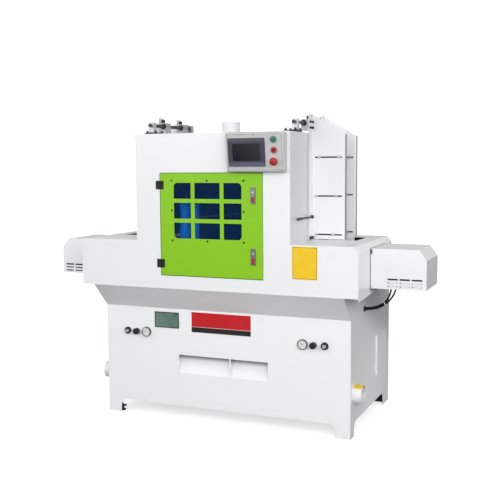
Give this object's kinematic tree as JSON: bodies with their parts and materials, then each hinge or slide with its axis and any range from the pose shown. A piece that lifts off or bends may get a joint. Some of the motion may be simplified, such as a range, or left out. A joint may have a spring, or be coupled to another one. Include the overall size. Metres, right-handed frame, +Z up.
{
  "type": "duplicating milling machine",
  "caption": "Floor-standing woodworking copy shaper with a glazed milling cabinet on a long bed, sliding carriages, adjustable feed hoppers and louvred motor covers.",
  "frame": {"origin": "on the floor under the middle of the machine's length and depth", "axes": "+X along the machine to the operator's right, +Y from the operator to the back, +Z up"},
  "size_m": [2.228, 1.0402, 1.728],
  "materials": {
    "white_paint": "satin",
    "green_paint": "satin",
    "clear_pane": "gloss",
    "black_plastic": "matte",
    "latch_metal": "polished",
    "red_plastic": "gloss",
    "green_plastic": "gloss",
    "panel_grey": "satin",
    "screen_black": "satin",
    "gauge_metal": "satin",
    "bearing_alloy": "satin",
    "bright_steel": "ground",
    "clamp_alloy": "cast",
    "grey_casting": "machined",
    "carriage_alloy": "machined",
    "motor_black": "satin",
    "blue_casting": "satin",
    "lead_jacket": "matte"
  },
  "bodies": {
    "frame": {"base_front": "white_paint", "base_rear": "white_paint", "base_left": "white_paint", "base_right": "white_paint", "bed_floor": "white_paint", "front_sheet": "white_paint", "rear_sheet": "white_paint", "left_bed_shell": "white_paint", "right_bed_shell": "white_paint", "cabinet_hood": "white_paint", "dust_spigots": "white_paint", "left_end_cover": "white_paint", "right_end_cover": "white_paint", "control_box": "panel_grey", "control_lid": "panel_grey", "touch_screen": "screen_black", "hinge_frame_leaves": "black_plastic", "gauge_cases": "gauge_metal", "shaft_supports": "bearing_alloy", "guide_shafts": "bright_steel", "carriage_bed": "grey_casting", "drive_motors": "motor_black", "spindle_beam": "grey_casting", "power_lead": "lead_jacket", "encoder_lead": "lead_jacket"},
    "door": {"door": "green_paint", "door_windows": "clear_pane", "hinge_door_leaves": "black_plastic", "latch_bodies": "latch_metal"},
    "upper_latch_button": {"upper_latch_button": "red_plastic"},
    "lower_latch_button": {"lower_latch_button": "red_plastic"},
    "start_button": {"start_button": "green_plastic"},
    "stop_button": {"stop_button": "red_plastic"},
    "emergency_stop": {"emergency_stop": "red_plastic"},
    "left_regulator_knob": {"left_regulator_knob": "black_plastic"},
    "left_valve_knob": {"left_valve_knob": "black_plastic"},
    "left_front_clamp_knob": {"left_front_clamp_knob": "black_plastic"},
    "left_rear_clamp_knob": {"left_rear_clamp_knob": "black_plastic"},
    "left_lever": {"left_lever": "black_plastic"},
    "left_carriage": {"left_carriage": "carriage_alloy"},
    "left_screw": {"left_screw": "bright_steel"},
    "left_spindle_head": {"left_spindle_head": "blue_casting"},
    "left_spindle": {"left_spindle": "bright_steel"},
    "left_front_plate": {"left_front_plate": "white_paint", "left_front_clamp": "clamp_alloy"},
    "left_rear_plate": {"left_rear_plate": "white_paint", "left_rear_clamp": "clamp_alloy"},
    "right_regulator_knob": {"right_regulator_knob": "black_plastic"},
    "right_valve_knob": {"right_valve_knob": "black_plastic"},
    "right_front_clamp_knob": {"right_front_clamp_knob": "black_plastic"},
    "right_rear_clamp_knob": {"right_rear_clamp_knob": "black_plastic"},
    "right_lever": {"right_lever": "black_plastic"},
    "right_carriage": {"right_carriage": "carriage_alloy"},
    "right_screw": {"right_screw": "bright_steel"},
    "right_spindle_head": {"right_spindle_head": "blue_casting"},
    "right_spindle": {"right_spindle": "bright_steel"},
    "right_front_plate": {"right_front_plate": "white_paint", "right_front_clamp": "clamp_alloy"},
    "right_rear_plate": {"right_rear_plate": "white_paint", "right_rear_clamp": "clamp_alloy"}
  },
  "joints": [
    {"name": "door_swing", "type": "hinge", "parent": "frame", "child": "door", "pos_m": [-0.3035, -0.45176, 1.1315], "axis": [0, 0, -1], "range_deg": [0, 110]},
    {"name": "upper_latch_push", "type": "slide", "parent": "door", "child": "upper_latch_button", "axis": [0, 1, 0], "range_m": [0, 0.003], "stiffness_N_per_m": 600},
    {"name": "lower_latch_push", "type": "slide", "parent": "door", "child": "lower_latch_button", "axis": [0, 1, 0], "range_m": [0, 0.003], "stiffness_N_per_m": 600},
    {"name": "start_push", "type": "slide", "parent": "frame", "child": "start_button", "axis": [0, 0.9925, 0.1219], "range_m": [0, 0.003], "stiffness_N_per_m": 600},
    {"name": "stop_push", "type": "slide", "parent": "frame", "child": "stop_button", "axis": [0, 0.9925, 0.1219], "range_m": [0, 0.003], "stiffness_N_per_m": 600},
    {"name": "emergency_push", "type": "slide", "parent": "frame", "child": "emergency_stop", "axis": [0, 0.9925, 0.1219], "range_m": [0, 0.0045]},
    {"name": "left_regulator_turn", "type": "hinge", "parent": "frame", "child": "left_regulator_knob", "pos_m": [-0.54, -0.33286, 0.496], "axis": [0, -1, 0], "range_deg": [-150, 150]},
    {"name": "left_valve_turn", "type": "hinge", "parent": "frame", "child": "left_valve_knob", "pos_m": [-0.602, -0.33086, 0.496], "axis": [0, -1, 0], "range_deg": [0, 90]},
    {"name": "left_front_plate_slide", "type": "slide", "parent": "frame", "child": "left_front_plate", "axis": [0, 1, 0], "range_m": [-0.06, 0.04]},
    {"name": "left_rear_plate_slide", "type": "slide", "parent": "frame", "child": "left_rear_plate", "axis": [0, 1, 0], "range_m": [-0.06, 0.015]},
    {"name": "left_front_clamp_turn", "type": "hinge", "parent": "left_front_plate", "child": "left_front_clamp_knob", "pos_m": [-0.446, -0.13386, 1.708], "axis": [0, 0, 1], "range_deg": [-180, 180]},
    {"name": "left_rear_clamp_turn", "type": "hinge", "parent": "left_rear_plate", "child": "left_rear_clamp_knob", "pos_m": [-0.446, 0.08114, 1.708], "axis": [0, 0, 1], "range_deg": [-180, 180]},
    {"name": "left_lever_turn", "type": "hinge", "parent": "left_front_plate", "child": "left_lever", "pos_m": [-0.4679, -0.13086, 1.168], "axis": [-1, 0, 0], "range_deg": [-20, 60]},
    {"name": "left_carriage_slide", "type": "slide", "parent": "frame", "child": "left_carriage", "axis": [1, 0, 0], "range_m": [0, 0.4]},
    {"name": "left_screw_turn", "type": "hinge", "parent": "frame", "child": "left_screw", "pos_m": [-0.408, -0.01986, 0.87], "axis": [-1, 0, 0], "range_deg": [0, 7200]},
    {"name": "left_head_slide", "type": "slide", "parent": "frame", "child": "left_spindle_head", "axis": [0, 1, 0], "range_m": [-0.02, 0.02]},
    {"name": "left_spindle_turn", "type": "hinge", "parent": "left_spindle_head", "child": "left_spindle", "pos_m": [-0.3, -0.13686, 1.04], "axis": [0, 0, 1], "continuous": true},
    {"name": "right_regulator_turn", "type": "hinge", "parent": "frame", "child": "right_regulator_knob", "pos_m": [0.54, -0.33286, 0.496], "axis": [0, -1, 0], "range_deg": [-150, 150]},
    {"name": "right_valve_turn", "type": "hinge", "parent": "frame", "child": "right_valve_knob", "pos_m": [0.602, -0.33086, 0.496], "axis": [0, -1, 0], "range_deg": [0, 90]},
    {"name": "right_front_plate_slide", "type": "slide", "parent": "frame", "child": "right_front_plate", "axis": [0, 1, 0], "range_m": [-0.06, 0.04]},
    {"name": "right_rear_plate_slide", "type": "slide", "parent": "frame", "child": "right_rear_plate", "axis": [0, 1, 0], "range_m": [-0.06, 0.015]},
    {"name": "right_front_clamp_turn", "type": "hinge", "parent": "right_front_plate", "child": "right_front_clamp_knob", "pos_m": [0.446, -0.13386, 1.708], "axis": [0, 0, 1], "range_deg": [-180, 180]},
    {"name": "right_rear_clamp_turn", "type": "hinge", "parent": "right_rear_plate", "child": "right_rear_clamp_knob", "pos_m": [0.446, 0.08114, 1.708], "axis": [0, 0, 1], "range_deg": [-180, 180]},
    {"name": "right_lever_turn", "type": "hinge", "parent": "right_front_plate", "child": "right_lever", "pos_m": [0.4679, -0.13086, 1.168], "axis": [-1, 0, 0], "range_deg": [-20, 60]},
    {"name": "right_carriage_slide", "type": "slide", "parent": "frame", "child": "right_carriage", "axis": [-1, 0, 0], "range_m": [0, 0.4]},
    {"name": "right_screw_turn", "type": "hinge", "parent": "frame", "child": "right_screw", "pos_m": [0.408, -0.01986, 0.87], "axis": [1, 0, 0], "range_deg": [0, 7200]},
    {"name": "right_head_slide", "type": "slide", "parent": "frame", "child": "right_spindle_head", "axis": [0, 1, 0], "range_m": [-0.02, 0.02]},
    {"name": "right_spindle_turn", "type": "hinge", "parent": "right_spindle_head", "child": "right_spindle", "pos_m": [0.3, -0.13686, 1.04], "axis": [0, 0, 1], "continuous": true}
  ],
  "couplings": [
    {"joint": "left_screw_turn", "follows": "left_carriage_slide", "rad_per_m": 314.16},
    {"joint": "right_screw_turn", "follows": "right_carriage_slide", "rad_per_m": 314.16}
  ]
}
